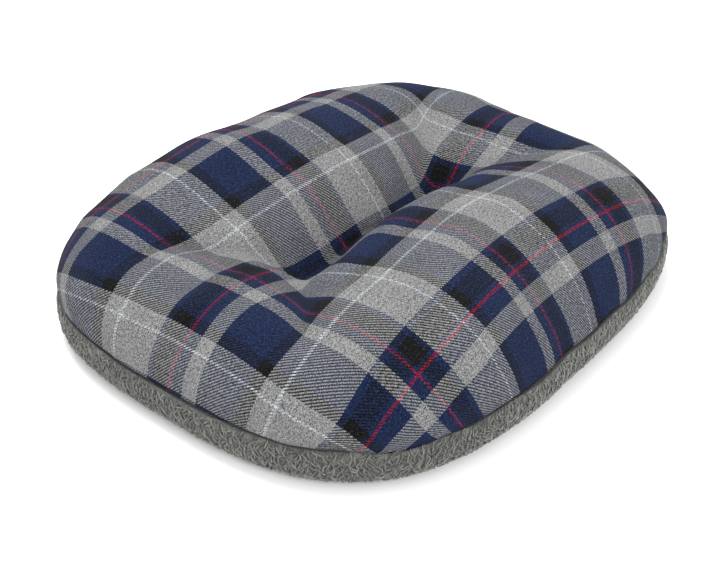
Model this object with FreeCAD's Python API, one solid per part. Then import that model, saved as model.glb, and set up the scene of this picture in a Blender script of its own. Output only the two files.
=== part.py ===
"""Tufted pet cushion bed.

Two cloth panels of one rounded outline are sewn together all round: woven cloth on top,
curly fleece below. Loose fibre fills them, and two ties pull the top down to the base.

Millimetres. The origin is on the floor under the middle of the cushion, +Z is up, and +X
runs along its length, the way the two ties lie.
"""

import FreeCAD, Part
import math
import os

from FreeCAD import Vector

# overall size
length = 610.0
width = 520.0
height = 140.0
corner_power = 3.0  # 2 is an ellipse, and a larger power has squarer corners

# the rim, where the panels meet
seam_height = 40.0
widest_height = 25.0  # where the fleece stands out furthest
foot_inset = 24.0  # from the outline in to where the fleece leaves the floor
fleece_stand = 4.0  # the fleece stands out this far past the woven cloth
seam_pinch = 1.3  # how far the rim comes in again, up to the seam
side_lean = 30.0  # how far the woven side leans in over the height below
side_height = 85.0

# the crown of the top panel
crown_drop = 75.0  # how far the crown falls from its top to the outline
crown_reach = 36.0  # how quickly it falls: a larger reach is a rounder edge
valley_height = 66.0  # floor of the valley between the ties
valley_reach = 150.0  # from the line between the ties out to the crest
valley_power = 1.9
crest_blend = 6.0

# the ties and the pits that they pull
tuft_spacing = 195.0
pit_height = 52.0
pit_radius = 16.0
dimple_depth = 14.0  # in the underside
dimple_radius = 48.0
twine_diameter = 1.8
bite_width = 7.0  # between the two strands of one tie
knot_diameter = 8.0
knot_height = 6.0

# cloth and thread
top_thickness = 2.0
fleece_thickness = 7.0
fleece_seam_thickness = 3.0  # pile crushed flat between the stitches
seam_allowance = 12.0
stitch_space = 0.7  # from the fleece's inner face in to the middle of the lockstitch
thread_diameter = 0.6
overlock_width = 5.0
overlock_thickness = 0.6
closing_gap = 180.0  # the stretch of seam that the filling goes in through
closing_thread_diameter = 1.0
closing_stitch = 5.0
closing_space = 4.0

# clearances
gap = 0.3  # between the filling and whatever lies against it
twine_clearance = 0.2
thread_clearance = 0.1

HALF_LENGTH = length / 2
HALF_WIDTH = width / 2
TUFTS = {"1": -tuft_spacing / 2, "2": tuft_spacing / 2}


# --- the outline, and its distance field -----------------------------------------------

def outline_ratio(x, y):
    """1 on the outline, less inside it."""
    total = abs(x / HALF_LENGTH) ** corner_power + abs(y / HALF_WIDTH) ** corner_power
    return total ** (1 / corner_power)


def outline_slope(x, y):
    """The gradient of outline_ratio, which points straight out of the outline."""
    ratio = max(outline_ratio(x, y), 1e-9)
    power = corner_power - 1
    along = math.copysign(abs(x / HALF_LENGTH / ratio) ** power, x) / HALF_LENGTH
    across = math.copysign(abs(y / HALF_WIDTH / ratio) ** power, y) / HALF_WIDTH
    return along, across


def inset_at(x, y):
    """About how far inside the outline a point is."""
    slope = math.hypot(*outline_slope(x, y))
    return (1 - outline_ratio(x, y)) / max(slope, 1e-9)


def outline_point(angle, inset, z):
    direction = (math.cos(angle), math.sin(angle))
    reach = 1 / outline_ratio(*direction)
    x = reach * direction[0]
    y = reach * direction[1]
    out = Vector(*outline_slope(x, y), 0).normalize()
    return Vector(x, y, z) - out * inset


def outline_wire(inset, z, points=48):
    curve = Part.BSplineCurve()
    angles = [2 * math.pi * i / points for i in range(points)]
    curve.interpolate(Points=[outline_point(a, inset, z) for a in angles], PeriodicFlag=True)
    return Part.Wire([curve.toShape()])


def slab(inset, low, high):
    """A flat plate of the outline, drawn in by an inset."""
    return Part.Face(outline_wire(inset, low)).extrude(Vector(0, 0, high - low))


def ring(outer_inset, inner_inset, low, high):
    return slab(outer_inset, low, high).cut(slab(inner_inset, low - 1, high + 1))


# --- the cushion's form -----------------------------------------------------------------

def soft_minimum(a, b, blend):
    low = min(a, b)
    return low - blend * math.log(math.exp((low - a) / blend) + math.exp((low - b) / blend))


def crown_profile(inset):
    """Height of a plain crown, which levels out just beyond the outline."""
    beyond = -18.0
    soft = 6.0
    held = beyond + soft * math.log1p(math.exp(min((inset - beyond) / soft, 60.0)))
    return height - crown_drop * math.exp(-held / crown_reach)


def valley_profile(x, y):
    """Height of the valley that the ties pull along the line between them."""
    past_tie = max(abs(x) - tuft_spacing / 2, 0)
    share = min(math.hypot(past_tie, y) / valley_reach, 1)
    return valley_height + (height - valley_height) * (1 - (1 - share) ** valley_power)


def bare_crown(x, y):
    z = soft_minimum(crown_profile(inset_at(x, y)), valley_profile(x, y), crest_blend)
    pit_depth = valley_height - pit_height
    for tie in TUFTS.values():
        z -= pit_depth * math.exp(-((x - tie) ** 2 + y ** 2) / pit_radius ** 2)
    return z


CREST = max(bare_crown(0, HALF_WIDTH * i / 200) for i in range(200))


def crown(x, y):
    """The top surface, with its crest brought up to the cushion's height."""
    z = bare_crown(x, y)
    return z + (height - CREST) * max(z - valley_height, 0) / (CREST - valley_height)


def under_crown(depth, steps=46, margin=16.0):
    """Everything that lies at least a depth below the top surface."""
    half_x = HALF_LENGTH + margin
    half_y = HALF_WIDTH + margin
    rows = []
    for i in range(steps + 1):
        row = []
        for j in range(steps + 1):
            x = half_x * (2 * i / steps - 1)
            y = half_y * (2 * j / steps - 1)
            slope_x = crown(x + 1, y) - crown(x - 1, y)
            slope_y = crown(x, y + 1) - crown(x, y - 1)
            steepness = math.sqrt(1 + slope_x ** 2 / 4 + slope_y ** 2 / 4)
            row.append(Vector(x, y, crown(x, y) - depth * steepness))
        rows.append(row)
    surface = Part.BSplineSurface()
    surface.interpolate(rows)
    return surface.toShape().extrude(Vector(0, 0, -2 * height))


def side_inset(z):
    """The woven side, which leans in above the seam."""
    return fleece_stand + side_lean * ((z - seam_height) / side_height) ** 2


def rim_inset(z):
    """The fleece rim: a quarter ellipse up from the floor, then a slight pinch."""
    if z >= widest_height:
        share = (z - widest_height) / (seam_height - widest_height)
        return seam_pinch * share ** 2
    share = 1 - z / widest_height
    return foot_inset * (1 - math.sqrt(1 - share ** 2))


def top_body(depth, low, top_margin=5.0):
    """The cushion above a level, at a depth inside the woven cloth."""
    rise = height + top_margin - low
    levels = [low + rise * i / 6 for i in range(7)]
    side = Part.makeLoft([outline_wire(side_inset(z) + depth, z) for z in levels], True, False)
    return side.common(under_crown(depth))


def base_body(depth, high):
    """The cushion below a level, at a depth inside the fleece."""
    levels = [widest_height * (1 - math.cos(math.radians(15 * i))) for i in range(7)] + [high]
    sections = [outline_wire(rim_inset(z) + depth, z + depth * (1 - z / high)) for z in levels]
    body = Part.makeLoft(sections, True, False)
    for tie in TUFTS.values():
        body = body.cut(dimple(tie, depth))
    return body


def dimple(x, depth):
    """The hollow under a tie: a bell, level at its mouth and at its top."""
    mouth = dimple_radius + depth
    top = dimple_depth + depth
    floor = depth - 1
    curve = Part.BezierCurve()
    curve.setPoles([
        Vector(mouth, 0, depth),
        Vector(mouth * 0.55, 0, depth),
        Vector(mouth * 0.5, 0, top),
        Vector(0, 0, top),
    ])
    corners = [Vector(0, 0, top), Vector(0, 0, floor), Vector(mouth, 0, floor), Vector(mouth, 0, depth)]
    edges = [curve.toShape()]
    edges += [Part.LineSegment(a, b).toShape() for a, b in zip(corners, corners[1:])]
    bell = Part.Face(Part.Wire(edges)).revolve(Vector(0, 0, 0), Vector(0, 0, 1), 360)
    bell.translate(Vector(x, 0, 0))
    return bell


# --- cloth, thread and filling ------------------------------------------------------------

TOP_FLANGE = seam_height + top_thickness  # upper face of the woven seam allowance
BASE_FLANGE = seam_height - fleece_seam_thickness  # lower face of the fleece one
TURNED_EDGE = fleece_stand + top_thickness  # inner face of the woven side, at the seam
RAW_EDGE = TURNED_EDGE + seam_allowance
STITCH_LINE = seam_pinch + fleece_thickness + stitch_space


def tie_holes(radius, low, high):
    """A straight hole for each strand of each tie."""
    holes = []
    for tie in TUFTS.values():
        for side in (-0.5, 0.5):
            foot = Vector(tie + side * bite_width, 0, low)
            holes.append(Part.makeCylinder(radius, high - low, foot))
    return holes


def make_top_panel():
    """Woven cloth, with its seam allowance turned inwards."""
    cloth = top_body(0, seam_height).cut(top_body(top_thickness, seam_height - 1))
    cloth = cloth.fuse(ring(TURNED_EDGE - top_thickness / 2, RAW_EDGE, seam_height, TOP_FLANGE))
    cloth = cloth.cut(tie_holes(twine_diameter / 2 + twine_clearance, 0, height))
    return cloth.removeSplitter()


def make_base_panel():
    """Fleece, flat on the floor, with its seam allowance turned inwards."""
    fleece = base_body(0, seam_height).cut(base_body(fleece_thickness, seam_height + 1))
    fleece = fleece.fuse(ring(fleece_thickness, RAW_EDGE, BASE_FLANGE, seam_height))
    fleece = fleece.cut(tie_holes(twine_diameter / 2 + twine_clearance, 0, seam_height))
    return fleece.removeSplitter()


def make_filling():
    """Loose fibre, packed against both panels and around the seam allowances and ties."""
    upper = top_body(top_thickness + gap, seam_height)
    lower = base_body(fleece_thickness + gap, seam_height)
    fibre = upper.fuse(lower)
    seam_room = thread_diameter + overlock_thickness + gap
    low = BASE_FLANGE - seam_room
    high = TOP_FLANGE + seam_room
    inner = RAW_EDGE + overlock_thickness + gap
    fibre = fibre.cut(ring(-1, inner, low, high))
    fibre = fibre.cut(tie_holes(twine_diameter / 2 + twine_clearance, 0, height))
    return fibre.removeSplitter()


def thread_loop(low):
    """A thread that runs all round the cushion along the line of stitches."""
    radius = thread_diameter / 2
    return ring(STITCH_LINE - radius, STITCH_LINE + radius, low, low + thread_diameter)


def make_overlock_thread():
    """Thread bound over the raw edges of both allowances."""
    outside = ring(
        RAW_EDGE - overlock_width,
        RAW_EDGE + overlock_thickness,
        BASE_FLANGE - overlock_thickness,
        TOP_FLANGE + overlock_thickness,
    )
    cloth = ring(RAW_EDGE - overlock_width - 1, RAW_EDGE, BASE_FLANGE, TOP_FLANGE)
    return outside.cut(cloth)


def make_closing_thread():
    """Hand stitches along the back of the rim, in the step between the panels."""
    radius = closing_thread_diameter / 2
    inset = fleece_stand - radius - thread_clearance
    pitch = closing_stitch + closing_space
    stitches = []
    for i in range(round(closing_gap / pitch)):
        x = -closing_gap / 2 + i * pitch
        ends = []
        for place in (x, x + closing_stitch):
            reach = HALF_WIDTH * (1 - abs(place / HALF_LENGTH) ** corner_power) ** (1 / corner_power)
            ends.append(outline_point(math.atan2(reach, place), inset, seam_height + radius))
        along = ends[1] - ends[0]
        stitches.append(Part.makeCylinder(radius, along.Length, ends[0], along))
    return Part.makeCompound(stitches)


def make_tie(x, cloth):
    """Two strands through the cushion, joined by a bite on the cloth and a knot below."""
    radius = twine_diameter / 2
    room_corner = Vector(x - bite_width / 2 - radius, -radius, seam_height)
    room = Part.makeBox(bite_width + 2 * radius, 2 * radius, height, room_corner)
    cloth_top = cloth.common(room).optimalBoundingBox(False).ZMax
    bite = cloth_top + twine_clearance + radius
    knot_foot = (dimple_depth - knot_height) / 2
    tie = Part.makeSphere(knot_diameter / 2, Vector(0, 0, 0))
    squash = FreeCAD.Matrix()
    squash.scale(Vector(bite_width / knot_diameter + 0.5, 1, knot_height / knot_diameter))
    tie = tie.transformGeometry(squash)
    tie.translate(Vector(x, 0, knot_foot + knot_height / 2))
    for side in (-0.5, 0.5):
        foot = Vector(x + side * bite_width, 0, knot_foot + knot_height / 2)
        tie = tie.fuse(Part.makeCylinder(radius, bite - foot.z, foot))
        tie = tie.fuse(Part.makeSphere(radius, Vector(foot.x, 0, bite)))
    left = Vector(x - bite_width / 2, 0, bite)
    tie = tie.fuse(Part.makeCylinder(radius, bite_width, left, Vector(1, 0, 0)))
    return tie.removeSplitter()


nodes = {
    "top_panel": make_top_panel(),
    "base_panel": make_base_panel(),
    "filling": make_filling(),
    "seam_needle_thread": thread_loop(TOP_FLANGE),
    "seam_bobbin_thread": thread_loop(BASE_FLANGE - thread_diameter),
    "overlock_thread": make_overlock_thread(),
    "closing_thread": make_closing_thread(),
}
for number, place in TUFTS.items():
    nodes["tuft_tie_" + number] = make_tie(place, nodes["top_panel"])

os.makedirs("parts", exist_ok=True)
for name, shape in nodes.items():
    box = shape.optimalBoundingBox(False)
    print(
        f"{name:20s} solids {len(shape.Solids)} valid {shape.isValid()} "
        f"volume {shape.Volume / 1000:9.2f} cm3 "
        f"x {box.XMin:.1f}..{box.XMax:.1f} y {box.YMin:.1f}..{box.YMax:.1f} z {box.ZMin:.1f}..{box.ZMax:.1f}"
    )
    shape.exportStep(f"parts/{name}.step")
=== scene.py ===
"""Tufted pet cushion bed: a woven tartan top and a curly fleece base, sewn, stuffed and tied.

Metres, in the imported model's frame: +Z is up from the floor under the middle of the bed, and
+X runs along its length, the way the two ties lie.
"""

import bisect
import math
import random

import bmesh
import bpy
from mathutils import Matrix, Vector, noise


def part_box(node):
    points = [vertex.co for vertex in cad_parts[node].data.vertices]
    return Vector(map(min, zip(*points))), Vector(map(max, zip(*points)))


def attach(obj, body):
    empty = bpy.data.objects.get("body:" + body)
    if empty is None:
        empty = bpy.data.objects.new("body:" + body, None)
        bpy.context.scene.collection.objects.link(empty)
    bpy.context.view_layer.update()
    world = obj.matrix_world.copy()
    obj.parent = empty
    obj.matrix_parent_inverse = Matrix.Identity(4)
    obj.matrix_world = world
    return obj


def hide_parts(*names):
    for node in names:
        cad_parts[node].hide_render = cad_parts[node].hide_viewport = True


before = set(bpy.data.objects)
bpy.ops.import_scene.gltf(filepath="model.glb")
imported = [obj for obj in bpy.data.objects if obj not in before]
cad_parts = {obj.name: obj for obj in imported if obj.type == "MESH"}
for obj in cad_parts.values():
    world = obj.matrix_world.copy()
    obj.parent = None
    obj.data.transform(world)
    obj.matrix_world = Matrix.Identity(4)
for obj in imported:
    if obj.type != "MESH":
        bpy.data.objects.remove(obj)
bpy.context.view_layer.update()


# --- camera --------------------------------------------------------------------------------
# It looks down on the bed from the front left, a little over twice the bed's length away.

camera_azimuth = math.radians(-51.78)
camera_elevation = math.radians(33.86)
camera_roll = math.radians(1.1)
camera_distance = 1.276
camera_lens = 60.2
camera_aim = Vector((-0.0199, -0.0033, 0.0129))

camera_data = bpy.data.cameras.new("camera")
camera_data.sensor_width = 36.0
camera_data.lens = camera_lens
camera = bpy.data.objects.new("camera", camera_data)
turn = (
    Matrix.Rotation(camera_azimuth, 4, "Z")
    @ Matrix.Rotation(math.pi / 2 - camera_elevation, 4, "X")
    @ Matrix.Rotation(camera_roll, 4, "Z")
)
backwards = Vector((
    math.sin(camera_azimuth) * math.cos(camera_elevation),
    -math.cos(camera_azimuth) * math.cos(camera_elevation),
    math.sin(camera_elevation),
))
camera.matrix_world = Matrix.Translation(camera_aim + backwards * camera_distance) @ turn
bpy.context.scene.collection.objects.link(camera)
bpy.context.scene.camera = camera


# --- woven top -----------------------------------------------------------------------------
# One piece of brushed tartan, woven as a 2/2 twill and cut larger than the bed. It is eased
# into the seam all round, blown out tight by the filling, and pulled down at the two ties.

corner_power = 3.0  # 2 is an ellipse, and a larger power has squarer corners
cut_half_length = 0.350
cut_half_width = 0.325
tartan_thickness = 0.002
seam_allowance = 0.014  # from the seam in to the raw edge
tie_on_cloth = 0.100  # where the needle goes through the cloth, from the middle of it
pit_reach = 0.007  # the cloth round each tie that is held down with it
start_rise = 0.02  # the flat cloth starts a little domed, so that the filling lifts it

top_low, top_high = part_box("top_panel")
seam_height = top_low.z
tie_low, tie_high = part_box("tuft_tie_2")
tie_place = (tie_low.x + tie_high.x) / 2
twine_diameter = 0.0018
pit_height = tie_high.z - twine_diameter


def outline_ratio(x, y):
    """1 on an outline of unit size, less inside it."""
    return (abs(x) ** corner_power + abs(y) ** corner_power) ** (1 / corner_power)


def bell(off, spread):
    """1 in the middle, falling away smoothly to 0 over a few spreads."""
    return math.exp(-(off / spread) ** 2)


class Outline:
    """The rounded outline of a panel, at a half length and a half width, to be walked along."""

    steps = 2880

    def __init__(self, half_length, half_width):
        self.half_length = half_length
        self.half_width = half_width
        self.points = []
        self.walked = [0.0]
        for i in range(self.steps + 1):
            way = Vector((math.cos(math.tau * i / self.steps), math.sin(math.tau * i / self.steps), 0))
            self.points.append(way / outline_ratio(way.x / half_length, way.y / half_width))
        for a, b in zip(self.points, self.points[1:]):
            self.walked.append(self.walked[-1] + (b - a).length)

    def share(self, x, y):
        """The share of the way round at which the outline lies in that direction."""
        place = math.atan2(y, x) % math.tau / math.tau * self.steps
        i = min(int(place), self.steps - 1)
        walked = self.walked[i] + (self.walked[i + 1] - self.walked[i]) * (place - i)
        return walked / self.walked[-1]

    def at(self, share):
        """The point of the outline at a share of the way round."""
        goal = share % 1 * self.walked[-1]
        i = min(bisect.bisect_right(self.walked, goal), self.steps) - 1
        step = (goal - self.walked[i]) / (self.walked[i + 1] - self.walked[i])
        return self.points[i].lerp(self.points[i + 1], step)

    def outward(self, point):
        """The way straight out of the outline at one of its points."""
        x = point.x / self.half_length
        y = point.y / self.half_width
        power = corner_power - 1
        return Vector((
            math.copysign(abs(x) ** power, x) / self.half_length,
            math.copysign(abs(y) ** power, y) / self.half_width,
            0,
        )).normalized()


def round_off(x, y):
    """Carries the points of a square into a panel's outline, where both are of unit size."""
    disc_x = x * math.sqrt(1 - y * y / 2)
    disc_y = y * math.sqrt(1 - x * x / 2)
    reach = math.hypot(disc_x, disc_y)
    if reach == 0:
        return 0.0, 0.0
    pull = (reach / outline_ratio(disc_x, disc_y)) ** (reach * reach)
    return disc_x * pull, disc_y * pull


cut = Outline(cut_half_length, cut_half_width)
seam = Outline(top_high.x, top_high.y)


def cut_tartan(quads_along=92, quads_across=86):
    """The flat cloth, which is a grid with its corners rounded off."""
    cloth = bmesh.new()
    bmesh.ops.create_grid(cloth, x_segments=quads_along, y_segments=quads_across, size=1.0)
    for v in cloth.verts:
        x, y = round_off(v.co.x, v.co.y)
        middle = 1 - outline_ratio(x, y) ** 4
        v.co = (x * cut_half_length, y * cut_half_width, seam_height + start_rise * middle)
    return cloth


def on_seam(flat):
    """Where a point of the flat cloth's edge is sewn to the seam. Inner points come along."""
    ratio = outline_ratio(flat.x / cut_half_length, flat.y / cut_half_width)
    place = seam.at(cut.share(flat.x, flat.y)) * ratio
    place.z = seam_height
    return place


def blow_out(cloth):
    """Draws the flat cloth's edge in to the seam while the filling's pressure lifts the rest."""
    mesh = bpy.data.meshes.new("sewing")
    cloth.to_mesh(mesh)
    sewing = bpy.data.objects.new("sewing", mesh)
    bpy.context.scene.collection.objects.link(sewing)
    held = [v.index for v in cloth.verts if v.is_boundary]
    sewing.shape_key_add(name="flat")
    sewn = sewing.shape_key_add(name="sewn", from_mix=False)
    for index in held:
        sewn.data[index].co = on_seam(mesh.vertices[index].co)
    for side in (-1, 1):
        for v in mesh.vertices:
            off_x = v.co.x - side * tie_on_cloth
            if math.hypot(off_x, v.co.y) < pit_reach:
                sewn.data[v.index].co = (side * tie_place + off_x, v.co.y, pit_height)
                held.append(v.index)
    sewing.vertex_groups.new(name="held").add(held, 1.0, "REPLACE")

    drawn_in = 15
    last = 32
    for frame_number in (1, drawn_in):
        sewn.value = frame_number > 1
        sewn.keyframe_insert("value", frame=frame_number)
    cloth_modifier = sewing.modifiers.new("cloth", "CLOTH")
    cloth_modifier.point_cache.frame_end = last
    cloth_modifier.collision_settings.use_collision = False
    settings = cloth_modifier.settings
    settings.vertex_group_mass = "held"
    settings.quality = 8
    settings.mass = 0.15
    settings.tension_stiffness = 30
    settings.compression_stiffness = 30
    settings.shear_stiffness = 15
    settings.bending_model = "ANGULAR"
    settings.bending_stiffness = 1.0
    settings.tension_damping = 25
    settings.compression_damping = 25
    settings.shear_damping = 25
    settings.bending_damping = 0.5
    settings.air_damping = 2.0
    settings.use_pressure = True
    settings.uniform_pressure_force = 60
    settings.effector_weights.gravity = 0
    scene = bpy.context.scene
    for frame_number in range(1, last + 1):
        scene.frame_set(frame_number)
    blown = bpy.data.meshes.new_from_object(sewing.evaluated_get(bpy.context.evaluated_depsgraph_get()))
    places = [v.co.copy() for v in blown.vertices]
    bpy.data.objects.remove(sewing)
    bpy.data.meshes.remove(blown)
    scene.frame_set(1)
    return places


puff = 0.003  # how far the fibre fills the smoothed cloth out again
valley_depth = 0.011  # the crease from one tie to the other is pulled down
valley_spread = 0.026
crest_height = 0.007  # and a crest stands up round it
crest_off = 0.056
crest_spread = 0.024
pit_spread = 0.02
uneven_filling = (  # where the fibre is packed harder or looser: x, y, spread and lift
    (0.26, 0.04, 0.085, 0.017),
    (-0.05, 0.20, 0.085, 0.014),
    (0.20, 0.20, 0.070, -0.004),
    (-0.26, 0.19, 0.070, 0.004),
    (0.27, -0.19, 0.070, -0.009),
)


def plump_up(cloth, places):
    """Rounds off the folds as the fibre fills them out, and pulls the two ties down again."""
    for v, place in zip(cloth.verts, places):
        v.co = place
    inner = [v for v in cloth.verts if not v.is_boundary]
    gathered = [v for v in inner if abs(v.co.x) < 0.13 and abs(v.co.y) > 0.15]  # above the long sides
    all_ways = {"use_axis_x": True, "use_axis_y": True, "use_axis_z": True}
    for part, times in ((inner, 10), (gathered, 36)):
        for i in range(times):
            bmesh.ops.smooth_vert(cloth, verts=part, factor=0.5, **all_ways)
    cloth.normal_update()
    for v in inner:  # each change fades out down to the seam, which stays where it is sewn
        ratio = outline_ratio(v.co.x / seam.half_length, v.co.y / seam.half_width)
        outer = max(0.0, min(1.0, ratio * 3 - 1))
        v.co += v.normal * puff * min(1.0, (v.co.z - seam_height) / 0.02) * outer
        off_line = math.hypot(max(abs(v.co.x) - tie_place, 0), v.co.y)
        v.co.z -= valley_depth * bell(off_line, valley_spread)
        v.co.z += crest_height * bell(off_line - crest_off, crest_spread)
        for x, y, spread, lift in uneven_filling:
            off = math.hypot(v.co.x - x, v.co.y - y)
            v.co.z += lift * bell(off, spread) * min(1.0, (v.co.z - seam_height) / 0.03)
    for side in (-1, 1):
        tie = Vector((side * tie_place, 0, 0))
        pit_floor = min(v.co.z for v in inner if (v.co - tie).xy.length < 0.012)
        for v in inner:
            v.co.z -= (pit_floor - pit_height) * bell((v.co - tie).xy.length, pit_spread)
    return [v.co.copy() for v in cloth.verts]


def dye(red, green, blue):
    """A colour as it looks on a screen, from 0 to 255, as a shader's colour."""
    shares = [c / 255 for c in (red, green, blue)]
    return [c / 12.92 if c < 0.04045 else ((c + 0.055) / 1.055) ** 2.4 for c in shares] + [1.0]


class Shade:
    """An output of a material's node. Sums written with it add Math nodes.

    A Mix node's factor is its socket 0, its two colours are 6 and 7, and its colour comes out at 2.
    """

    def __init__(self, tree, socket=None):
        self.tree = tree
        self.socket = socket

    def add(self, kind, settings=None, values=None, output=0):
        """Adds any node. Its settings are made first, then its sockets' values and links."""
        node = self.tree.nodes.new(kind)
        for name, setting in (settings or {}).items():
            if name == "stops":
                stops = node.color_ramp.elements
                stops.remove(stops[1])
                stops[0].position = setting[0][0]
                stops[0].color = setting[0][1]
                for place, colour in setting[1:]:
                    stops.new(place).color = colour
            elif name == "steps":
                node.color_ramp.interpolation = setting
            else:
                setattr(node, name, setting)
        for name, value in (values or {}).items():
            if isinstance(value, Shade):
                self.tree.links.new(value.socket, node.inputs[name])
            else:
                node.inputs[name].default_value = value
        return Shade(self.tree, node.outputs[output])

    def out(self, name):
        return Shade(self.tree, self.socket.node.outputs[name])

    def maths(self, operation, *terms):
        return self.add("ShaderNodeMath", {"operation": operation}, dict(enumerate(terms)))

    def __add__(self, other):
        return self.maths("ADD", self, other)

    __radd__ = __add__

    def __sub__(self, other):
        return self.maths("SUBTRACT", self, other)

    def __rsub__(self, other):
        return self.maths("SUBTRACT", other, self)

    def __mul__(self, other):
        return self.maths("MULTIPLY", self, other)

    __rmul__ = __mul__

    def floor(self):
        return self.maths("FLOOR", self)

    def fraction(self):
        return self.maths("FRACT", self)

    def noise(self, scale, detail=2.0):
        """Noise from 0 to 1 about this vector, with a number of lumps to the metre."""
        return self.add("ShaderNodeTexNoise", None, {"Vector": self, "Scale": scale, "Detail": detail})

    def mixed(self, a, b):
        """Colour a where this is 0, and colour b where it is 1."""
        return self.add("ShaderNodeMix", {"data_type": "RGBA"}, {0: self, 6: a, 7: b}, 2)

    def times(self, colour):
        """A colour made lighter or darker by this."""
        return self.add(
            "ShaderNodeMix", {"data_type": "RGBA", "blend_type": "MULTIPLY"}, {0: 1.0, 6: colour, 7: self}, 2
        )


cloth_shine = 0.06  # fibres hardly mirror the light


def start_finish(name, roughness, sheen, sheen_roughness=0.4, sheen_tint=(1.0, 1.0, 1.0, 1.0)):
    """A new material, and the shade that its nodes start from."""
    material = bpy.data.materials.new(name)
    material.use_nodes = True
    surface = material.node_tree.nodes["Principled BSDF"].inputs
    surface["Roughness"].default_value = roughness
    surface["Specular IOR Level"].default_value = cloth_shine
    surface["Sheen Weight"].default_value = sheen
    surface["Sheen Roughness"].default_value = sheen_roughness
    surface["Sheen Tint"].default_value = sheen_tint
    return material, Shade(material.node_tree)


def end_finish(material, colour, relief, depth, strength=1.0):
    """Feeds a colour and a relief, whose full height is the depth, to the surface."""
    surface = material.node_tree.nodes["Principled BSDF"].inputs
    bump = relief.add("ShaderNodeBump", None, {"Height": relief, "Distance": depth, "Strength": strength})
    material.node_tree.links.new(colour.socket, surface["Base Color"])
    material.node_tree.links.new(bump.socket, surface["Normal"])
    return material


RED = dye(112, 10, 34)
NAVY = dye(17, 28, 54)
BLACK = dye(11, 11, 12)
PALE = dye(112, 112, 112)
WHITE = dye(150, 154, 157)
sett = [  # the tartan's order of threads: how many lie side by side, and their colour
    (3, RED), (4, NAVY), (20, BLACK), (6, NAVY), (49, PALE), (3, WHITE),
    (16, PALE), (14, BLACK), (50, NAVY), (20, PALE), (15, NAVY),
]
sett_threads = sum(count for count, colour in sett)
sett_length = 0.1658  # along the bed
sett_width = 0.215  # across it
red_line_x = -0.0385  # on the flat cloth
red_line_y = -0.0121


def tartan_finish():
    """Warp runs across the bed and weft along it, both with the same order of coloured threads."""
    material, shade = start_finish("brushed_tartan", 0.95, 0.04, 0.5, dye(200, 206, 222))
    stops = []
    passed = 0
    for count, colour in sett:
        stops.append((passed / sett_threads, colour))
        passed += count
    flat = shade.add("ShaderNodeUVMap", {"uv_map": "flat_cloth"})
    along = shade.add("ShaderNodeSeparateXYZ", None, {0: flat})
    half_line = sett[0][0] / 2  # the sett is counted from the middle of its red line
    warp = (along - red_line_x) * (sett_threads / sett_length) + half_line
    weft = (along.out("Y") - red_line_y) * (sett_threads / sett_width) + half_line
    colours = []
    for thread in (warp, weft):
        place = ((thread.floor() + 0.5) * (1 / sett_threads)).fraction()
        colours.append(shade.add("ShaderNodeValToRGB", {"stops": stops, "steps": "CONSTANT"}, {0: place}))
    step = ((warp.floor() + weft.floor()) * 0.25 + 0.125).fraction()  # a 2/2 twill repeats every four
    warp_on_top = step.maths("LESS_THAN", step, 0.5)

    fluff = flat.noise(820.0) - 0.5  # single hairs
    mottle = flat.noise(330.0) - 0.5  # small tufts of them
    cloudy = flat.noise(30.0) - 0.5
    share = (warp_on_top - 0.5) * 0.9 + mottle * 0.9 + 0.5  # the brushed fibres blur the weave
    share = share.maths("SMOOTH_MIN", share.maths("MAXIMUM", share, 0.04), 0.96, 0.02)
    woven = share.mixed(colours[1], colours[0])
    hairy = fluff * 4.4 + mottle * 1.8 + cloudy * 0.5 + 1
    fibres = hairy.maths("MAXIMUM", hairy, 0.2).times(woven)
    stray = fluff * 1.1 + mottle * 0.4 - 0.1  # pale fibres in the dark yarns, and dark in the pale
    colour = stray.maths("MAXIMUM", stray, 0.0).mixed(fibres, PALE)

    ridges = []
    for thread in (warp, weft):
        off = (thread.fraction() - 0.5) * 2
        ridges.append(1 - off * off)
    ridge = warp_on_top * ridges[0] + (1 - warp_on_top) * ridges[1]
    return end_finish(material, colour, ridge * 0.5 + fluff, 0.0007, 0.7)


out_of_true = (  # a way out from the middle, and how far the outline stands out or in there
    (0.74, -0.67, 0.014),
    (0.97, 0.24, -0.009),
    (-0.74, 0.67, 0.003),
)
seam_wave = 0.006
seam_wave_length = 0.06


def settled(place):
    """The seam doesn't lie quite level all round, and the outline is a little out of true."""
    x = place.x / seam.half_length
    y = place.y / seam.half_width
    ratio = outline_ratio(x, y)
    stands_out = Vector((0, 0, 0))
    for way_x, way_y, stand in out_of_true:
        off = Vector((x, y)).angle(Vector((way_x, way_y)), 0.0) if ratio else math.pi
        stands_out += Vector((way_x, way_y, 0)) * stand * ratio * bell(off, 0.32)
    near_seam = bell(place.z - seam_height, 0.03) * min(1.0, place.z / 0.015)
    near_seam *= max(0.0, min(1.0, (ratio - 0.8) / 0.15))
    wave = noise.noise(Vector((place.x, place.y, 0.3)) / seam_wave_length)
    return place + stands_out + Vector((0, 0, wave * seam_wave * near_seam))


def make_piece(name, mesh, material, slot, *nodes):
    """Puts a finished piece in the scene: it rides on the bed and stands for its CAD nodes."""
    piece = bpy.data.objects.new(name, mesh)
    bpy.context.scene.collection.objects.link(piece)
    mesh.materials.append(material)
    mesh.shade_smooth()
    for v in mesh.vertices:
        v.co = settled(v.co)
    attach(piece, "root")
    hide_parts(*nodes)
    return piece


tartan = cut_tartan()
flat_places = [Vector((v.co.x, v.co.y, 0)) for v in tartan.verts]
blown_places = plump_up(tartan, blow_out(tartan))


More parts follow.
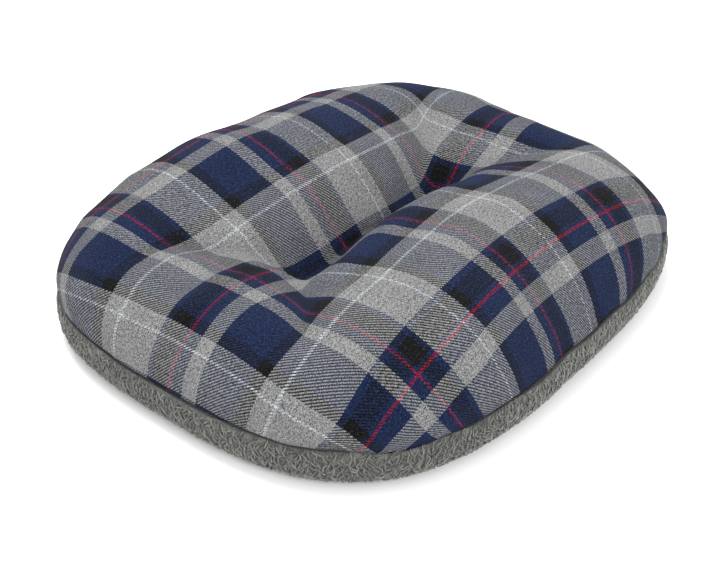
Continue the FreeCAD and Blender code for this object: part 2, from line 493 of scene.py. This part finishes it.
def make_tartan_mesh():
    """The blown cloth, a little lumpy from the fibre under it, with its edge turned in."""
    flat_layer = tartan.verts.layers.float_vector.new("flat")
    for v, flat, place in zip(tartan.verts, flat_places, blown_places):
        v.co = place
        v[flat_layer] = flat
    tartan.normal_update()
    gather_width = 0.014  # the fullness that is eased in shows as low gathers just above the seam
    gather_rise = 0.0022
    gather_reach = 0.03
    for v in tartan.verts:
        if not v.is_boundary:
            lump = noise.noise(v.co / 0.045) * 0.0016 + noise.noise(v.co / 0.02) * 0.0005
            walk = seam.share(v.co.x, v.co.y) * seam.walked[-1]
            above = max(0.0, 1 - (v.co.z - seam_height) / gather_reach)
            gather = noise.noise(Vector((walk / gather_width, 0.5, 0))) * gather_rise * above
            v.co += v.normal * (lump + gather)
    edges = [e for e in tartan.edges if e.is_boundary]
    turned = bmesh.ops.extrude_edge_only(tartan, edges=edges)
    for v in [g for g in turned["geom"] if isinstance(g, bmesh.types.BMVert)]:
        v.co -= seam.outward(v.co) * seam_allowance
        flat = v[flat_layer]
        v[flat_layer] = flat + cut.outward(flat) * seam_allowance
    bmesh.ops.recalc_face_normals(tartan, faces=tartan.faces[:])
    uv_layer = tartan.loops.layers.uv.new("flat_cloth")
    for face in tartan.faces:
        for loop in face.loops:
            loop[uv_layer].uv = loop.vert[flat_layer].xy
    tartan.verts.layers.float_vector.remove(flat_layer)
    mesh = bpy.data.meshes.new("top_cloth")
    tartan.to_mesh(mesh)
    return mesh


top_cloth = make_piece("top_cloth", make_tartan_mesh(), tartan_finish(), "tartan_cloth", "top_panel")
finer = top_cloth.modifiers.new("finer", "SUBSURF")
finer.levels = 1
finer.render_levels = 1
thicker = top_cloth.modifiers.new("thicker", "SOLIDIFY")
thicker.thickness = tartan_thickness
thicker.offset = -1.0
with_allowance = Outline(cut_half_length + seam_allowance, cut_half_width + seam_allowance)


# --- fleece base ---------------------------------------------------------------------------
# One piece of curly berber fleece, pile side out. It lies flat on the floor, comes up round
# the rim, and its edge is turned in under the tartan's. Each tie draws a hollow into it, and
# short curls of pile stand all round the rim.

fleece_thickness = 0.007
pressed_thickness = 0.003  # between the stitches of the seam
foot_inset = 0.024
widest_height = 0.025
pinch = 0.0013  # how far the rim comes in again up to the seam
pile_stand = 0.004  # how far the fleece stands out past the tartan
clump_size = 0.0085
clump_depth = 0.0016
dimple_depth = 0.014  # the hollow that each tie draws in underneath
dimple_radius = 0.048

base_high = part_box("base_panel")[1]
rim = Outline(base_high.x, base_high.y)
spin_reach = 1.0  # the rim is first spun as a ring of this radius, then bent to the outline
noise.seed_set(11)  # noise_vector would otherwise take its offsets from the clock


def ellipse_rise(share, depth):
    """A point of the rim's quarter ellipse, at a depth under the pile: its inset and height."""
    angle = share * math.pi / 2
    inset = foot_inset * (1 - math.sin(angle)) + depth * math.sin(angle)
    height = widest_height * (1 - math.cos(angle)) + depth * math.cos(angle)
    return inset, height


def rim_profile():
    """The fleece's section, from the floor up the outside, round the raw edge and down again."""
    rows = 26
    outside = [(foot_inset + 0.004, 0.0), (foot_inset + 0.002, 0.0)]
    outside += [ellipse_rise(i / rows, 0) for i in range(rows + 1)]
    roll = 0.003  # the pile rolls over at the top, just above the seam
    roll_width = 0.0028
    roll_foot = seam_height + 0.0012 - roll
    for i in range(1, 9):
        outside.append((pinch * (i / 8) ** 2, widest_height + (roll_foot - widest_height) * i / 8))
    for i in range(1, 4):
        angle = i * math.pi / 6
        outside.append((pinch + roll_width * (1 - math.cos(angle)), roll_foot + roll * math.sin(angle)))
    outside.append((pile_stand + 0.0006, seam_height))
    raw_edge = pile_stand + seam_allowance
    outside += [(raw_edge, seam_height), (raw_edge, seam_height - pressed_thickness)]
    outside.append((pinch + fleece_thickness, seam_height - pressed_thickness))
    inside = [ellipse_rise(1 - i / 6, fleece_thickness) for i in range(7)]
    return outside + inside


def dimple_rise(x, y):
    """How far the base is drawn up at a place by the nearer tie."""
    off = math.hypot(abs(x) - tie_place, y) / dimple_radius
    return dimple_depth * (1 + math.cos(math.pi * off)) / 2 if off < 1 else 0.0


def clump_height(place):
    """How far the matted clumps of the pile stand up at a place, from 0 to 1."""
    swirl = noise.noise_vector(place / 0.011) * 0.0035
    nearest = noise.voronoi((place + swirl) / clump_size)[0]
    clump = min(1.0, (nearest[1] - nearest[0]) * 1.7) ** 0.6
    strand = 1 - abs(noise.noise((place + swirl * 2) / 0.0034)) * 1.6
    return max(0.0, min(1.0, clump * 0.72 + strand * 0.33))


def make_fleece_mesh():
    """The rim, spun as a ring and bent to the outline, then closed across the foot on both faces."""
    fleece = bmesh.new()
    profile = [fleece.verts.new((spin_reach - inset, 0, height)) for inset, height in rim_profile()]
    line = [fleece.edges.new(pair) for pair in zip(profile, profile[1:])]
    turns = 900
    bmesh.ops.spin(
        fleece, geom=profile + line, cent=(0, 0, 0), axis=(0, 0, 1), dvec=(0, 0, 0),
        angle=math.tau, steps=turns, use_merge=True,
    )
    for v in fleece.verts:
        inset = spin_reach - math.hypot(v.co.x, v.co.y)
        place = rim.at(math.atan2(v.co.y, v.co.x) / math.tau)
        v.co = (place - rim.outward(place) * inset) + Vector((0, 0, v.co.z))

    open_edges = [e for e in fleece.edges if e.is_boundary]
    for height, quads, inset in (
        (0.0, 150, foot_inset + 0.008),
        (fleece_thickness, 60, foot_inset + 0.004),
    ):
        edge = [e for e in open_edges if abs(e.verts[0].co.z - height) < 0.0005]
        before = set(fleece.verts)
        bmesh.ops.create_grid(fleece, x_segments=quads, y_segments=round(quads * 0.87), size=1.0)
        disc = [v for v in fleece.verts if v not in before]
        for v in disc:
            x, y = round_off(v.co.x, v.co.y)
            v.co = (x * (rim.half_length - inset), y * (rim.half_width - inset), height)
        disc_edge = [e for e in fleece.edges if e.is_boundary and e.verts[0] not in before]
        bmesh.ops.bridge_loops(fleece, edges=edge + disc_edge)
    bmesh.ops.recalc_face_normals(fleece, faces=fleece.faces[:])
    fleece.normal_update()

    pile = fleece.verts.layers.float.new("pile")
    shifts = []
    for v in fleece.verts:
        x, y, z = v.co
        on_rim = v.normal.dot(rim.outward(v.co)) > 0.3
        on_foot = v.normal.z < -0.6 and z < 0.003
        on_roll = z > seam_height and v.normal.z > 0
        under_seam = z > seam_height - 0.005 and v.normal.z < -0.5
        shift = Vector((0, 0, dimple_rise(x, y) if z < 0.02 else 0))
        # painted shade: this value is low in the hollows between clumps, and the fleece finish colours them
        # dark
        if (on_rim or on_foot or on_roll) and not under_seam:
            clump = clump_height(v.co)
            v[pile] = clump if z < 0.004 else clump * 0.5  # the curls hide most of it on the rim, and halving it there paints the shade that the curls cast
            shift += v.normal * (clump - 0.9) * clump_depth
        shifts.append(shift)
    for v, shift in zip(fleece.verts, shifts):
        v.co += shift
        v.co.z = max(v.co.z, 0.0)
    mesh = bpy.data.meshes.new("base_fleece")
    fleece.to_mesh(mesh)
    return mesh


def fleece_finish():
    material, shade = start_finish("curly_fleece", 0.95, 0.3, 0.5, dye(220, 224, 224))
    place = shade.add("ShaderNodeTexCoord").out("Object")
    pile = shade.add("ShaderNodeAttribute", {"attribute_name": "pile"}).out("Fac")
    fluff = place.noise(1100.0, 3.0)
    clumps = place.noise(160.0, 2.0)
    cloudy = place.noise(22.0)
    # painted shade and light: the ramp colours the hollows between clumps and under the curls dark, and
    # their tops light
    height = pile * 0.8 + fluff * 0.5 - 0.15
    stops = [(0.0, dye(38, 38, 36)), (0.45, dye(97, 98, 94)), (1.0, dye(162, 162, 155))]
    grey = shade.add("ShaderNodeValToRGB", {"stops": stops}, {0: height})
    colour = (clumps * 0.3 + cloudy * 0.2 + 0.75).times(grey)
    return end_finish(material, colour, fluff + pile * 0.4, 0.0012)


def make_curl_mesh():
    """The curly tufts of the pile round the rim, each a short strand that lies over in an S."""
    tufts = 7600
    tuft_length = 0.0085
    tuft_radius = 0.00078
    golden_share = 0.6180339887  # of the way round, from one tuft to the next, so that none line up
    above_foot = 6  # the tufts' part of the profile starts just off the floor
    over_roll = 38
    section = [Vector((inset, height)) for inset, height in rim_profile()[above_foot:over_roll]]
    section.append(Vector((pinch + 0.0016, seam_height + 0.0055)))  # up against the tartan
    risen = [0.0]
    for a, b in zip(section, section[1:]):
        risen.append(risen[-1] + (b - a).length)

    def on_rim(share, rise):
        """A point of the rim's face, and the way straight out of it."""
        i = max(1, min(bisect.bisect_right(risen, rise), len(section) - 1))
        way = (section[i] - section[i - 1]).normalized()
        point = section[i - 1] + way * min(rise - risen[i - 1], 0.004)
        place = rim.at(share)
        out = rim.outward(place)
        return place - out * point.x + Vector((0, 0, point.y)), out * way.y + Vector((0, 0, way.x))

    dice = random.Random(11)
    curls = bmesh.new()
    pile = curls.verts.layers.float.new("pile")
    for i in range(tufts):
        share = (i * golden_share + dice.uniform(-0.001, 0.001)) % 1
        rise = risen[-2] * (i + 0.5) / tufts
        root = on_rim(share, rise)[0]
        heading = noise.noise(root / 0.016) * 1.3 + dice.uniform(-0.4, 0.4)
        reach = tuft_length * dice.uniform(0.7, 1.3)
        bow = dice.choice((-1, 1)) * dice.uniform(0.0008, 0.0018)
        stand = dice.uniform(0.0006, 0.0021)
        tone = dice.uniform(-0.2, 0.2)
        line = []
        for part in range(5):
            q = part / 2 - 1  # -1 at one end of the strand and 1 at the other
            along = q * reach / 2
            aside = math.sin(q * math.pi * 0.95) * bow
            over = (along * math.sin(heading) + aside * math.cos(heading)) / rim.walked[-1]
            up = along * math.cos(heading) - aside * math.sin(heading)
            point, normal = on_rim(share + over, rise + up)
            line.append((point + normal * (stand * (1 - q * q) - 0.0003), normal, q))
        rings = []
        for part, (point, normal, q) in enumerate(line):
            way = (line[min(part + 1, 4)][0] - line[max(part - 1, 0)][0]).normalized()
            side = way.cross(normal)
            radius = tuft_radius * (1 - 0.75 * q * q)
            ring = []
            for corner in range(3):
                angle = math.tau * corner / 3
                v = curls.verts.new(point + (normal * math.cos(angle) + side * math.sin(angle)) * radius)
                v.co.z = max(v.co.z, 0.0002)
                # painted light: the side of each curl that faces out is lighter along its middle; the tone
                # differs at random
                v[pile] = 0.42 + tone + (0.36 if corner == 0 else 0.0) * (1 - q * q)
                ring.append(v)
            rings.append(ring)
        for low, high in zip(rings, rings[1:]):
            for corner in range(3):
                after = (corner + 1) % 3
                curls.faces.new((low[corner], low[after], high[after], high[corner]))
    bmesh.ops.recalc_face_normals(curls, faces=curls.faces[:])
    mesh = bpy.data.meshes.new("fleece_curls")
    curls.to_mesh(mesh)
    return mesh


curly_fleece = fleece_finish()
base_fleece = make_piece("base_fleece", make_fleece_mesh(), curly_fleece, "berber_fleece", "base_panel")
fleece_curls = make_piece("fleece_curls", make_curl_mesh(), curly_fleece, "berber_fleece", "base_panel")
rim_rise = 0.054  # measured round the rim, from the foot to the seam
fleece_cut = Outline(
    rim.half_length - foot_inset + rim_rise + seam_allowance,
    rim.half_width - foot_inset + rim_rise + seam_allowance,
)


# --- filling -------------------------------------------------------------------------------
# Loose hollow fibre, blown in through the gap in the seam until the cloth is tight. It takes
# the shape of both panels from inside, and is lumpy where it has felted together.

fibre_gap = 0.0022  # clear of both cloths
edge_share = 0.93  # from here out, the filling draws in to the seam
rim_reach = 0.03  # the lower half draws in over this much of the rim
tie_sink = 0.009
tie_sink_spread = 0.03


def make_fibre_mesh():
    """The tartan's blown shape from inside, closed by the base's shape underneath."""
    fibre = cut_tartan()
    for v, place in zip(fibre.verts, blown_places):
        v.co = place
    fibre.normal_update()
    edge_inset = pile_stand + tartan_thickness
    for v, flat in zip(fibre.verts, flat_places):
        ratio = outline_ratio(flat.x / cut_half_length, flat.y / cut_half_width)
        if v.is_boundary:
            v.co -= seam.outward(v.co) * (edge_inset + seam_allowance * 0.9)
        else:
            lump = 0.0008 * noise.noise(v.co / 0.015)
            v.co -= v.normal * (tartan_thickness + fibre_gap - lump) * min(1.0, (1 - ratio) * 20)
            if ratio > edge_share:
                v.co -= seam.outward(v.co) * edge_inset * (ratio - edge_share) / (1 - edge_share)
            from_tie = math.hypot(abs(v.co.x) - tie_place, v.co.y)
            v.co.z -= tie_sink * bell(from_tie, tie_sink_spread)
    upper = fibre.faces[:]
    lower = bmesh.ops.duplicate(fibre, geom=fibre.verts[:] + fibre.edges[:] + upper)
    new_verts = [g for g in lower["geom"] if isinstance(g, bmesh.types.BMVert)]
    new_faces = [g for g in lower["geom"] if isinstance(g, bmesh.types.BMFace)]
    for v, flat in zip(new_verts, flat_places):
        if v.is_boundary:
            continue
        ratio = outline_ratio(flat.x / cut_half_length, flat.y / cut_half_width)
        place = rim.at(cut.share(flat.x, flat.y)) * ratio
        inset = max((1 - ratio) * rim.half_width, fleece_thickness + fibre_gap)
        share = max(0.0, 1 - (inset - fleece_thickness) / foot_inset)
        rise = (widest_height - fleece_thickness) * (1 - math.sqrt(1 - share ** 2))
        squeeze = (fleece_thickness + fibre_gap) * max(0.0, 1 - inset / rim_reach)
        v.co = place - rim.outward(place) * squeeze
        v.co.z = fleece_thickness + fibre_gap + rise + dimple_rise(v.co.x, v.co.y)
    bmesh.ops.reverse_faces(fibre, faces=new_faces)
    bmesh.ops.remove_doubles(fibre, verts=fibre.verts[:], dist=0.00002)
    bmesh.ops.recalc_face_normals(fibre, faces=fibre.faces[:])
    mesh = bpy.data.meshes.new("fibre_filling")
    fibre.to_mesh(mesh)
    return mesh


def fibre_finish():
    material, shade = start_finish("hollow_fibre", 0.8, 0.4)
    place = shade.add("ShaderNodeTexCoord").out("Object")
    strands = place.noise(700.0, 4.0)
    tufts = place.noise(70.0)
    white = (strands * 0.4 + tufts * 0.3 + 0.6).times(dye(238, 237, 232))
    return end_finish(material, white, strands + tufts * 2, 0.001)


fibre_filling = make_piece("fibre_filling", make_fibre_mesh(), fibre_finish(), "hollow_fibre", "filling")


# --- machine threads -----------------------------------------------------------------------
# Black polyester. A lockstitch joins the panels inside the turned edges, its needle thread on
# the tartan and its bobbin thread on the fleece, and an overlock binds both raw edges.

needle_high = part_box("seam_needle_thread")[1]
bobbin_low, bobbin_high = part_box("seam_bobbin_thread")
overlock_low, overlock_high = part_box("overlock_thread")
thread_radius = 0.0003
stitch_length = 0.0032
hole_dip = 0.0004  # into the cloth, at each needle hole
overlock_width = 0.0045


def lay_thread(name, points, radius, closed=False, facets=1):
    """A thread along points, as a mesh tube."""
    curve = bpy.data.curves.new(name, "CURVE")
    curve.dimensions = "3D"
    curve.bevel_depth = radius
    curve.bevel_resolution = facets
    curve.use_fill_caps = not closed
    spline = curve.splines.new("POLY")
    spline.points.add(len(points) - 1)
    for point, place in zip(spline.points, points):
        point.co = (*place, 1.0)
    spline.use_cyclic_u = closed
    holder = bpy.data.objects.new(name, curve)
    mesh = bpy.data.meshes.new_from_object(holder)
    bpy.data.objects.remove(holder)
    mesh.name = name
    return mesh


def lockstitch(box_high, height, dip):
    """A thread that lies along the seam and dips at each needle hole."""
    line = Outline(box_high.x - thread_radius, box_high.y - thread_radius)
    stitches = round(line.walked[-1] / stitch_length)
    points = []
    for i in range(stitches):
        for part, lift in ((0.0, dip), (0.25, 0.0), (0.75, 0.0)):
            points.append(line.at((i + part) / stitches) + Vector((0, 0, height + lift)))
    return points


def overlock_loops():
    """The looper threads: over the top allowance, round the raw edges, back under the lower."""
    outer = Outline(overlock_high.x, overlock_high.y)
    top = overlock_high.z - thread_radius
    low = overlock_low.z + thread_radius
    one_loop = (  # how far on along the seam, how far in, and its height
        (0.0, 0, top),
        (0.2, overlock_width, top),
        (0.5, overlock_width + 0.0008, (top + low) / 2),
        (0.8, overlock_width, low),
        (0.9, 0, low),
    )
    loops = round(outer.walked[-1] / stitch_length)
    points = []
    for i in range(loops):
        for part, inset, z in one_loop:
            place = outer.at((i + part) / loops)
            points.append(place - outer.outward(place) * inset + Vector((0, 0, z)))
    return points


def thread_finish(name, colour, gloss):
    """Spun thread, with a fine noise in its colour and relief."""
    material, shade = start_finish(name, gloss, 0.1)
    place = shade.add("ShaderNodeTexCoord").out("Object")
    fibres = place.noise(2600.0)
    return end_finish(material, (fibres * 0.5 + 0.75).times(colour), fibres, 0.0001)


black_thread = thread_finish("black_thread", dye(40, 40, 44), 0.55)
for name, high, height, dip in (
    ("seam_needle_thread", needle_high, needle_high.z - thread_radius, -hole_dip),
    ("seam_bobbin_thread", bobbin_high, bobbin_low.z + thread_radius, hole_dip),
):
    thread = lay_thread(name + "_stitches", lockstitch(high, height, dip), thread_radius, closed=True)
    make_piece(name + "_stitches", thread, black_thread, "sewing_thread", name)
overlock = lay_thread("overlock_stitches", overlock_loops(), thread_radius, closed=True, facets=0)
make_piece("overlock_stitches", overlock, black_thread, "sewing_thread", "overlock_thread")


# --- closing stitches ----------------------------------------------------------------------
# Once the bed is full, the gap at the middle of its back is closed by hand with a heavier
# doubled thread, in slanting stitches from the tartan down into the fleece.

closing_low, closing_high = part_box("closing_thread")
closing_radius = 0.0005
closing_stitches = 20
closing_slant = 0.6  # how far along a stitch goes, of the way to the next one
hand_thread = thread_finish("hand_thread", dye(46, 48, 60), 0.6)
hand_stitches = bmesh.new()
for i in range(closing_stitches):
    pitch = (closing_high.x - closing_low.x) / (closing_stitches - 0.45)
    start = closing_low.x + i * pitch
    points = []
    for part in range(6):
        share = part / 5
        x = start + share * pitch * closing_slant
        across = (1 - abs(x / seam.half_length) ** corner_power) ** (1 / corner_power)
        edge = seam.at(seam.share(x, seam.half_width * across))
        bow = math.sin(math.pi * share)
        out = seam.outward(edge) * (bow * 0.0022 - 0.0008)
        points.append(edge + out + Vector((0, 0, seam_height + 0.0028 - share * 0.0030)))
    stitch = lay_thread("stitch", points, closing_radius)
    hand_stitches.from_mesh(stitch)
    bpy.data.meshes.remove(stitch)
closing_mesh = bpy.data.meshes.new("closing_stitches")
hand_stitches.to_mesh(closing_mesh)
make_piece("closing_stitches", closing_mesh, hand_thread, "hand_thread", "closing_thread")


# --- ties ----------------------------------------------------------------------------------
# Each tie is one length of waxed twine, two plies twisted together. It goes down through the
# bed on both sides of a short bite in the top, and is pulled tight and knotted underneath.

bite_width = 0.007
ply_radius = twine_diameter * 0.27
ply_off = ply_radius * 0.9  # from the twine's middle line
ply_turn = 0.0045  # length of one turn of the twist


def along_tie():
    """The middle line of the twine: up one strand, over the bite and down the other."""
    knot_top = 0.009
    points = []
    corner = bite_width * 0.22
    bite = tie_high.z - twine_diameter / 2
    half = bite_width / 2
    steps = 60
    for i in range(steps + 1):
        points.append(Vector((-half, 0, knot_top + (bite - corner - knot_top) * i / steps)))
    for i in range(1, 6):
        angle = i * math.pi / 12
        along = -half + corner * (1 - math.cos(angle))
        points.append(Vector((along, 0, bite - corner + corner * math.sin(angle))))
    points.append(Vector((-half + corner, 0, bite)))
    mirrored = [Vector((-p.x, 0, p.z)) for p in reversed(points)]
    return points + mirrored


def along_knot():
    """An overhand knot pulled tight, as a closed trefoil without its two short ends."""
    points = []
    steps = 72
    for i in range(steps):
        angle = math.tau * i / steps
        reach = 0.0022 + 0.0011 * math.cos(3 * angle)
        points.append(Vector((
            reach * math.cos(2 * angle) * 1.35,
            reach * math.sin(2 * angle),
            0.0062 + 0.0014 * math.sin(3 * angle),
        )))
    return points


def twist(points, side, closed=False):
    """One ply, wound round the middle line."""
    wound = []
    walked = 0.0
    for i, point in enumerate(points):
        after = points[(i + 1) % len(points)] if closed else points[min(i + 1, len(points) - 1)]
        before = points[i - 1] if closed or i else point
        way = (after - before).normalized()
        walked += (point - before).length if i else 0.0
        across = way.cross(Vector((0, 1, 0.01))).normalized()
        above = way.cross(across)
        angle = walked / ply_turn * math.tau + side * math.pi
        wound.append(point + (across * math.cos(angle) + above * math.sin(angle)) * ply_off)
    return wound


def twine_finish():
    material, shade = start_finish("waxed_twine", 0.45, 0.15)
    place = shade.add("ShaderNodeTexCoord").out("Object")
    fibres = place.noise(1800.0, 3.0)
    return end_finish(material, (fibres * 0.5 + 0.7).times(dye(52, 56, 74)), fibres, 0.00015)


twine = twine_finish()
for number, side in (("1", -1), ("2", 1)):
    tie = bmesh.new()
    for points, closed in ((along_tie(), False), (along_knot(), True)):
        for ply in (0, 1):
            strand = lay_thread("ply", twist(points, ply, closed), ply_radius, closed=closed)
            tie.from_mesh(strand)
            bpy.data.meshes.remove(strand)
    for v in tie.verts:
        v.co.x += side * tie_place
    tie_mesh = bpy.data.meshes.new("tuft_twine_" + number)
    tie.to_mesh(tie_mesh)
    make_piece("tuft_twine_" + number, tie_mesh, twine, "waxed_twine", "tuft_tie_" + number)


# --- floor and light -----------------------------------------------------------------------
# A plain white floor, a bright even surround, a broad soft light over the back, and a weaker
# one from the front.

floor_mesh = bpy.data.meshes.new("floor")
floor_grid = bmesh.new()
bmesh.ops.create_grid(floor_grid, x_segments=1, y_segments=1, size=6.0)
floor_grid.to_mesh(floor_mesh)
floor = bpy.data.objects.new("floor", floor_mesh)
bpy.context.scene.collection.objects.link(floor)
floor_paper = bpy.data.materials.new("floor_paper")
floor_paper.use_nodes = True
paper = floor_paper.node_tree.nodes["Principled BSDF"].inputs
paper["Base Color"].default_value = (0.9, 0.9, 0.9, 1)
paper["Roughness"].default_value = 0.9
floor_mesh.materials.append(floor_paper)

world = bpy.data.worlds.new("studio")
world.use_nodes = True
surround = world.node_tree.nodes["Background"].inputs
surround["Color"].default_value = (1, 1, 1, 1)
surround["Strength"].default_value = 1.3
bpy.context.scene.world = world
bpy.context.scene.view_settings.view_transform = "Standard"


def hang_light(name, place, aim, size, power):
    data = bpy.data.lights.new(name, "AREA")
    data.shape = "DISK"
    data.size = size
    data.energy = power
    light = bpy.data.objects.new(name, data)
    light.location = place
    light.rotation_euler = (Vector(aim) - Vector(place)).to_track_quat("-Z", "Y").to_euler()
    bpy.context.scene.collection.objects.link(light)


hang_light("overhead", (0.2, 0.9, 2.2), (0, 0, 0), 1.6, 52)
hang_light("front", (-0.9, -1.5, 1.1), (0, 0, 0), 1.2, 18)


# --- update --------------------------------------------------------------------------------
# The scene is brought up to date.

bpy.context.view_layer.update()
